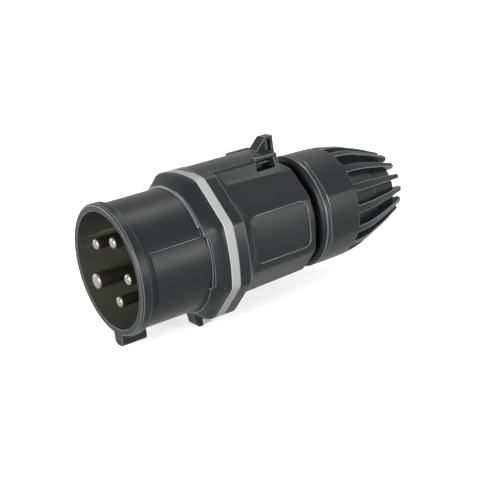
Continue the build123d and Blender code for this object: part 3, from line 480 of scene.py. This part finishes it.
# %% Turn a body round the X axis
def turn_body(name, stations, segments):
    """Extrudes a ring through (x, radius) stations, and joins the last ring to the first."""
    x, radius = stations[0]
    body = new_piece(name, bpy.ops.mesh.primitive_circle_add, vertices=segments, radius=radius,
                     location=(x, 0, 0))
    bpy.ops.object.mode_set(mode="EDIT")
    bpy.ops.mesh.select_all(action="SELECT")
    for next_x, next_radius in stations[1:]:
        bpy.ops.mesh.extrude_region_move(TRANSFORM_OT_translate={"value": (next_x - x, 0, 0)})
        grow = next_radius / radius
        bpy.ops.transform.resize(value=(1, grow, grow), center_override=(next_x, 0, 0))
        x, radius = next_x, next_radius
    bpy.ops.mesh.select_all(action="DESELECT")
    bpy.ops.mesh.select_non_manifold()
    bpy.ops.mesh.bridge_edge_loops()
    bpy.ops.mesh.select_all(action="SELECT")
    bpy.ops.mesh.normals_make_consistent(inside=False)
    bpy.ops.object.mode_set(mode="OBJECT")
    return body


RIBS = 16
SEGMENTS_PER_RIB = 16
HALF_RIB = math.radians(4.22)
FLOOR_END = 13.9 * mm
RIB_INNER, RIB_OUTER = 12.9 * mm, 15.4 * mm
nut_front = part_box("gland_nut")[0][0]
nut_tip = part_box("gland_nut")[1][0]
lip_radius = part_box("gland_nut")[1][2]
grip_start = nut_front + 4.6 * mm
slot_start = nut_front + 21.0 * mm
mouth_x = nut_tip - 3.6 * mm
nut_outside = [
    (nut_front, lip_radius - 2.1 * mm), (nut_front + 0.35 * mm, lip_radius - 1.5 * mm),
    (nut_front + 0.9 * mm, lip_radius - 0.85 * mm), (nut_front + 1.9 * mm, lip_radius),
    (nut_front + 3.9 * mm, lip_radius), (nut_front + 4.05 * mm, 25.0 * mm),
    (nut_front + 4.45 * mm, 25.0 * mm), (grip_start, 25.3 * mm),
    (nut_front + 12.3 * mm, 25.25 * mm), (nut_front + 20.3 * mm, 25.1 * mm),
    (slot_start, 25.05 * mm), (nut_front + 26.3 * mm, 24.75 * mm),
    (nut_front + 32.0 * mm, 23.7 * mm), (nut_front + 37.2 * mm, 22.0 * mm),
    (nut_front + 37.7 * mm, 21.85 * mm), (nut_front + 43.0 * mm, 20.2 * mm),
    (nut_front + 47.5 * mm, 18.5 * mm), (mouth_x, 16.8 * mm),
]
nut_inside = [
    (mouth_x, FLOOR_END), (mouth_x, RIB_INNER), (mouth_x, 11.8 * mm),
    (nut_front + 37.0 * mm, 15.8 * mm), (nut_front + 20.6 * mm, 20.2 * mm),
    (nut_front + 20.6 * mm, 21.5 * mm), (nut_front, 21.5 * mm),
]
nut = turn_body("gland_nut_ribbed", nut_outside + nut_inside, RIBS * SEGMENTS_PER_RIB)
print("nut stations:", len(nut_outside) + len(nut_inside), "faces:", len(nut.data.polygons))

# %% [markdown]
# The grip's faces are bowed, not flat: each point moves out by about a third of what a true
# octagon would ask for. Behind the slots' start the faces fade away, until the tips are round.

# %% Pull the grip into eight bowed faces
GRIP_FACES = 8
BOWED_SHARE = 0.35
FADE_END, FADE_LENGTH = 43 * mm, 22 * mm
SAME_STATION = 0.01 * mm


def radius_along(stations, x):
    """Radius at x, read along a list of (x, radius) stations."""
    for (x0, r0), (x1, r1) in zip(stations, stations[1:]):
        if x <= x1:
            return r0 + (r1 - r0) * (x - x0) / (x1 - x0)
    return stations[-1][1]


def angle_from_nearest(y, z, count):
    """Angle of a point round the X axis, from the nearest of `count` even directions."""
    step = 2 * math.pi / count
    return (math.atan2(y, z) + step / 2) % step - step / 2


def grip_growth(x, y, z):
    """How much a point of the nut's outside moves out to make the bowed faces."""
    fade = min(1.0, max(0.0, (nut_front + FADE_END - x) / FADE_LENGTH))
    near = angle_from_nearest(y, z, GRIP_FACES)
    return 1 + BOWED_SHARE * fade * (1 / math.cos(near) - 1)


for vertex in nut.data.vertices:
    x, y, z = vertex.co
    outside = math.hypot(y, z) > radius_along(nut_outside, x) - 0.1 * mm
    if x > grip_start - SAME_STATION and outside:
        growth = grip_growth(x, y, z)
        vertex.co = (x, y * growth, z * growth)
print("widest across the grip:", round(max(v.co.z for v in nut.data.vertices) / mm, 2), "mm")

# %% [markdown]
# A slot takes a little less than two thirds of the rib pitch. The faces of all slots are
# extruded together, and the new faces sink to the floor: a cone with one step, where the mould's
# core is split. The ends of the ribs are extruded beyond the mouth in the same way, and their
# outer points are drawn in, which makes the blunt tips.

# %% Sink the slots and draw out the rib tips
slot_floor = [(slot_start, 22.8 * mm), (nut_front + 37.2 * mm, 18.5 * mm),
              (nut_front + 37.7 * mm, 17.2 * mm), (mouth_x, FLOOR_END)]


def in_slot(face):
    """True for a face of the nut's outside that lies between two ribs, behind the grip."""
    x, y, z = face.calc_center_median()
    between_ribs = abs(angle_from_nearest(y, z, RIBS)) > HALF_RIB
    return between_ribs and x > slot_start and math.hypot(y, z) > radius_along(slot_floor, x)


def on_rib_end(face):
    """True for a face of the mouth's flat end that lies on a rib."""
    x, y, z = face.calc_center_median()
    on_rib = abs(angle_from_nearest(y, z, RIBS)) < HALF_RIB
    return abs(x - mouth_x) < SAME_STATION and on_rib and math.hypot(y, z) > RIB_INNER


def slot_sink(x, y, z):
    """How much a point of a slot's new faces moves in to reach the floor."""
    return radius_along(slot_floor, x) / math.hypot(y, z)


def tip_growth(x, y, z):
    """How much a point of a rib's end moves: the outer points move to the tip's radius."""
    radius = math.hypot(y, z)
    return RIB_OUTER / radius if radius > FLOOR_END + 1 * mm else 1.0


def extrude_and_reshape(obj, shift, growth):
    """Extrudes the selected faces along X, and scales each new point about the X axis."""
    bpy.ops.mesh.extrude_region_move(TRANSFORM_OT_translate={"value": (shift, 0, 0)})
    cage = bmesh.from_edit_mesh(obj.data)
    for vertex in cage.verts:
        if vertex.select:
            factor = growth(*vertex.co)
            vertex.co.y *= factor
            vertex.co.z *= factor
    bmesh.update_edit_mesh(obj.data)
    bpy.ops.mesh.select_all(action="SELECT")


select_only(nut)
bpy.ops.object.mode_set(mode="EDIT")
print("slot faces:", select_faces(nut, in_slot))
extrude_and_reshape(nut, 0, slot_sink)
bpy.ops.mesh.remove_doubles(threshold=SAME_STATION)
print("rib end faces:", select_faces(nut, on_rib_end))
extrude_and_reshape(nut, nut_tip - mouth_x, tip_growth)
bpy.ops.mesh.normals_make_consistent(inside=False)
bpy.ops.object.mode_set(mode="OBJECT")
# The nut's bevelled edges take the lighter edge colour, a painted highlight.
apply_bevel(nut, black_nylon, nylon_edge_painted_highlight, 0.4 * mm, angle=32)
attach(nut, "nut")
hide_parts("gland_nut")
print("finished nut faces:", len(nut.data.polygons))

# %% [markdown]
# ## Floor, light and camera
#
# A catalogue picture stands on white paper, with soft boxes round it. The paper is white only
# where the camera sees it, or sees it mirrored in metal and gloss: for every other ray it is
# grey, so that it doesn't throw light up under the plug and wash out its dark lower half. It
# also has a light of its own, which grows away from the plug. It keeps the paper white far from
# the lamps and leaves the plug's shadow faint.

# %% Floor
def camera_sees(tree, seen, otherwise):
    """A shader that is seen one way, also mirrored or through glass, and lights another way."""
    path = add_node(tree, "ShaderNodeLightPath")
    looks = path.outputs["Is Camera Ray"]
    for ray in ("Is Glossy Ray", "Is Transmission Ray"):
        either = add_node(tree, "ShaderNodeMath", {"operation": "MAXIMUM"})
        tree.links.new(looks, either.inputs[0])
        tree.links.new(path.outputs[ray], either.inputs[1])
        looks = either.outputs[0]
    mix = tree.nodes.new("ShaderNodeMixShader")
    for socket, source in zip(mix.inputs, (looks, otherwise, seen)):
        tree.links.new(source, socket)
    return mix.outputs[0]


floor_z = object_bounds()[0][2]
bpy.ops.object.select_all(action="DESELECT")
bpy.ops.mesh.primitive_plane_add(size=6.0, location=(0, 0, floor_z))
floor = bpy.context.object
floor.name = "floor"
paper = bpy.data.materials.new("white_paper")
paper.use_nodes = True
tree = paper.node_tree
white = tree.nodes["Principled BSDF"]
white.inputs["Base Color"].default_value = linear("FAFAFA")
white.inputs["Roughness"].default_value = 0.9
grey = add_node(tree, "ShaderNodeBsdfDiffuse", {"Color": linear("626262")})
place = add_node(tree, "ShaderNodeTexCoord").outputs["Object"]
away = add_node(tree, "ShaderNodeVectorMath", {"operation": "LENGTH"}, Vector=place)
lift = add_node(tree, "ShaderNodeMapRange", {"From Min": 0.10, "From Max": 0.60,
                                             "To Min": 0.60, "To Max": 1.0},
                Value=away.outputs["Value"])
glow = add_node(tree, "ShaderNodeEmission", Strength=lift.outputs[0])
lifted = tree.nodes.new("ShaderNodeAddShader")
tree.links.new(white.outputs[0], lifted.inputs[0])
tree.links.new(glow.outputs[0], lifted.inputs[1])
tree.links.new(camera_sees(tree, lifted.outputs[0], grey.outputs[0]),
               tree.nodes["Material Output"].inputs["Surface"])
floor.data.materials.append(paper)
print("floor at z =", round(floor_z, 4))

# %% [markdown]
# Each soft box draws one band of light. The key light lies above and behind, for the band along
# the collar's upper side. The side light stands low, for the band on the pad. The left light
# looks into the bore and onto the pins, and the other two lift faces that would be black. The
# world is white where it is seen and dim for every other ray, like the floor.

# %% Lights
def soft_light(name, place, target, size, power):
    """A square soft box that faces a point."""
    lamp = bpy.data.lights.new(name, "AREA")
    lamp.size = size
    lamp.energy = power
    light = bpy.data.objects.new(name, lamp)
    light.location = place
    light.rotation_euler = (Vector(target) - Vector(place)).to_track_quat("-Z", "Y").to_euler()
    bpy.context.scene.collection.objects.link(light)


middle = Vector((0.075, 0.0, 0.0))
soft_light("key_light", (0.42, 0.12, 0.78), middle, 0.28, 2.7)
soft_light("left_light", (-0.85, -0.45, 0.15), middle, 0.5, 15.0)
soft_light("back_light", (-0.55, 0.75, 0.12), middle, 0.35, 2.5)
soft_light("side_light", (0.48, -0.80, 0.09), middle, 0.27, 6.0)
soft_light("rim_light", (0.75, -0.20, 0.35), middle, 0.3, 0.5)
world = bpy.data.worlds.new("studio")
bpy.context.scene.world = world
world.use_nodes = True
tree = world.node_tree
backdrop = tree.nodes["Background"]
backdrop.inputs["Color"].default_value = (1.0, 1.0, 1.0, 1.0)
room = add_node(tree, "ShaderNodeBackground", {"Color": (1.0, 1.0, 1.0, 1.0), "Strength": 0.20})
tree.links.new(camera_sees(tree, backdrop.outputs[0], room.outputs[0]),
               tree.nodes["World Output"].inputs["Surface"])
bpy.context.scene.view_settings.view_transform = "Standard"

# %% [markdown]
# The camera looks into the collar from its left, a little from above, with a longish lens. The
# plug's axis leans in the picture, so the camera is rolled a few degrees, which its three axes
# say directly.

# %% Camera
camera_place = Vector((-0.18518, -0.39263, 0.13545))
camera_right = Vector((0.8090, -0.5742, -0.1255)).normalized()
camera_forward = Vector((0.5212, 0.7995, -0.2985)).normalized()
camera_up = camera_right.cross(camera_forward)
turn = Matrix((camera_right, camera_up, -camera_forward)).transposed().to_4x4()
camera_data = bpy.data.cameras.new("camera")
camera_data.sensor_width = 36.0
camera_data.lens = 79.2
camera = bpy.data.objects.new("camera", camera_data)
camera.matrix_world = Matrix.Translation(camera_place) @ turn
bpy.context.scene.collection.objects.link(camera)
bpy.context.scene.camera = camera
print("camera distance:", round((camera_place - middle).length, 3))
